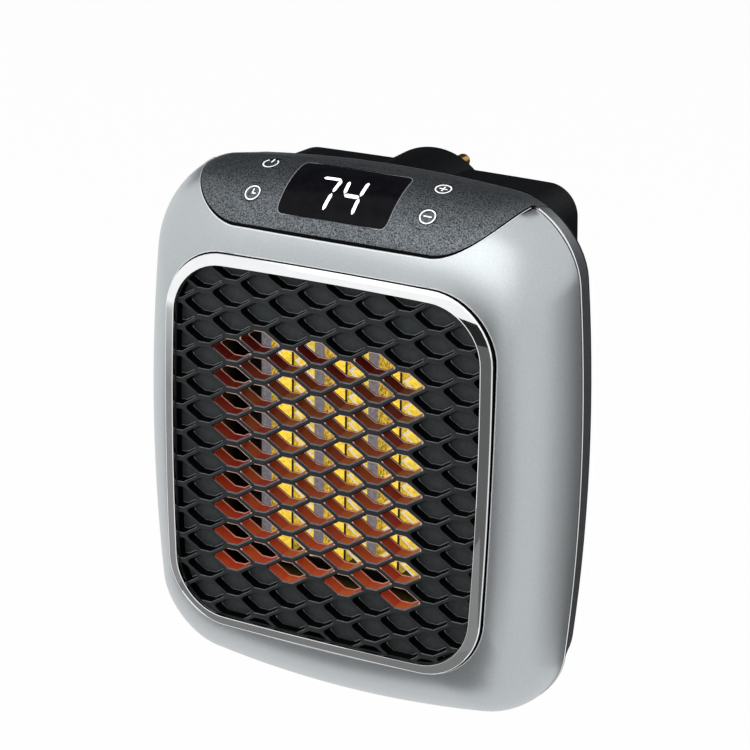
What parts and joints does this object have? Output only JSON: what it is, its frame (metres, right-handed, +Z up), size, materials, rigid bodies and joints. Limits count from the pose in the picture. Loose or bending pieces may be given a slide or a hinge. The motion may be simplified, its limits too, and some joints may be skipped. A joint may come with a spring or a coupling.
{
  "type": "plug-in fan heater",
  "caption": "Wall-outlet fan heater: silver casing with honeycomb outlet, panel with keys and display, ceramic element, fan and a swivelling mains plug.",
  "frame": {"origin": "middle of the plug's face, in the plane of the wall outlet", "axes": "+X to the right seen from the front, +Y into the wall along the plug's blades, +Z up; the grille faces -Y"},
  "size_m": [0.1512, 0.0993, 0.1794],
  "materials": {
    "shell_silver": "satin silver metallic paint on moulded plastic",
    "chrome_trim": "bright chrome plating",
    "band_grey": "dark grey satin plastic",
    "rear_black": "black fine-textured plastic",
    "grille_black": "black satin heat-resistant plastic",
    "panel_grey": "dark grey metallic paint with a fine fleck",
    "key_grey": "dark grey metallic paint with white symbols",
    "window_black": "black gloss window",
    "circuit_board": "green solder mask",
    "inner_black": "black plastic",
    "insulator": "heat-proof insulating board",
    "element_metal": "bare aluminium",
    "element_fins": "gold-coloured folded aluminium",
    "steel": "zinc-plated steel",
    "fan_plastic": "white plastic",
    "relay_case": "blue plastic",
    "transformer_tape": "yellow winding tape",
    "copper": "bare copper alloy",
    "lead_red": "red insulated wire",
    "ribbon_grey": "grey flat cable",
    "plug_brass": "polished brass"
  },
  "bodies": {
    "plug": {"plug_body": "rear_black", "plug_snap_ring": "steel", "friction_washer": "insulator", "line_blade": "plug_brass", "neutral_blade": "plug_brass", "earth_pin": "plug_brass"},
    "casing": {"front_shell": "shell_silver", "trim_ring": "chrome_trim", "bezel": "chrome_trim", "mid_frame": "band_grey", "rear_shell": "rear_black", "grille": "grille_black", "control_panel": "panel_grey", "display_window": "window_black", "control_board": "circuit_board", "display_module": "inner_black", "switch_power": "inner_black", "switch_timer": "inner_black", "switch_plus": "inner_black", "switch_minus": "inner_black", "air_duct": "inner_black", "element_frame": "insulator", "heater_bar_1": "element_metal", "heater_bar_2": "element_metal", "heater_bar_3": "element_metal", "heater_bar_4": "element_metal", "fin_stack_1_left": "element_fins", "fin_stack_1_right": "element_fins", "fin_stack_2_left": "element_fins", "fin_stack_2_right": "element_fins", "fin_stack_3_left": "element_fins", "fin_stack_3_right": "element_fins", "fin_divider_1": "element_metal", "fin_divider_2": "element_metal", "fin_divider_3": "element_metal", "thermal_cutout": "steel", "fan_frame": "inner_black", "fan_motor": "steel", "power_board": "circuit_board", "relay": "relay_case", "transformer": "transformer_tape", "filter_capacitor": "inner_black", "case_screw_1": "steel", "case_screw_2": "steel", "case_screw_3": "steel", "case_screw_4": "steel", "contact_carrier": "insulator", "neutral_track": "copper", "line_track": "copper", "earth_track": "copper", "mains_lead": "lead_red", "motor_lead": "lead_red", "element_lead": "lead_red", "panel_ribbon": "ribbon_grey"},
    "fan": {"fan_impeller": "fan_plastic", "fan_shaft": "steel"},
    "power_key": {"key_power": "key_grey"},
    "timer_key": {"key_timer": "key_grey"},
    "plus_key": {"key_plus": "key_grey"},
    "minus_key": {"key_minus": "key_grey"}
  },
  "joints": [
    {"name": "plug_swivel", "type": "hinge", "parent": "plug", "child": "casing", "pos_m": [0, 0, 0], "axis": [0, 1, 0], "range_deg": [-90, 90]},
    {"name": "fan_spin", "type": "hinge", "parent": "casing", "child": "fan", "pos_m": [-0.0035, -0.035, -0.06725], "axis": [0, 1, 0], "continuous": true},
    {"name": "power_press", "type": "slide", "parent": "casing", "child": "power_key", "axis": [0, 0.4384, -0.8988], "range_m": [0, 0.0007], "stiffness_N_per_m": 1500, "springref_m": -0.0004},
    {"name": "timer_press", "type": "slide", "parent": "casing", "child": "timer_key", "axis": [0, 0.4384, -0.8988], "range_m": [0, 0.0007], "stiffness_N_per_m": 1500, "springref_m": -0.0004},
    {"name": "plus_press", "type": "slide", "parent": "casing", "child": "plus_key", "axis": [0, 0.4384, -0.8988], "range_m": [0, 0.0007], "stiffness_N_per_m": 1500, "springref_m": -0.0004},
    {"name": "minus_press", "type": "slide", "parent": "casing", "child": "minus_key", "axis": [0, 0.4384, -0.8988], "range_m": [0, 0.0007], "stiffness_N_per_m": 1500, "springref_m": -0.0004}
  ]
}
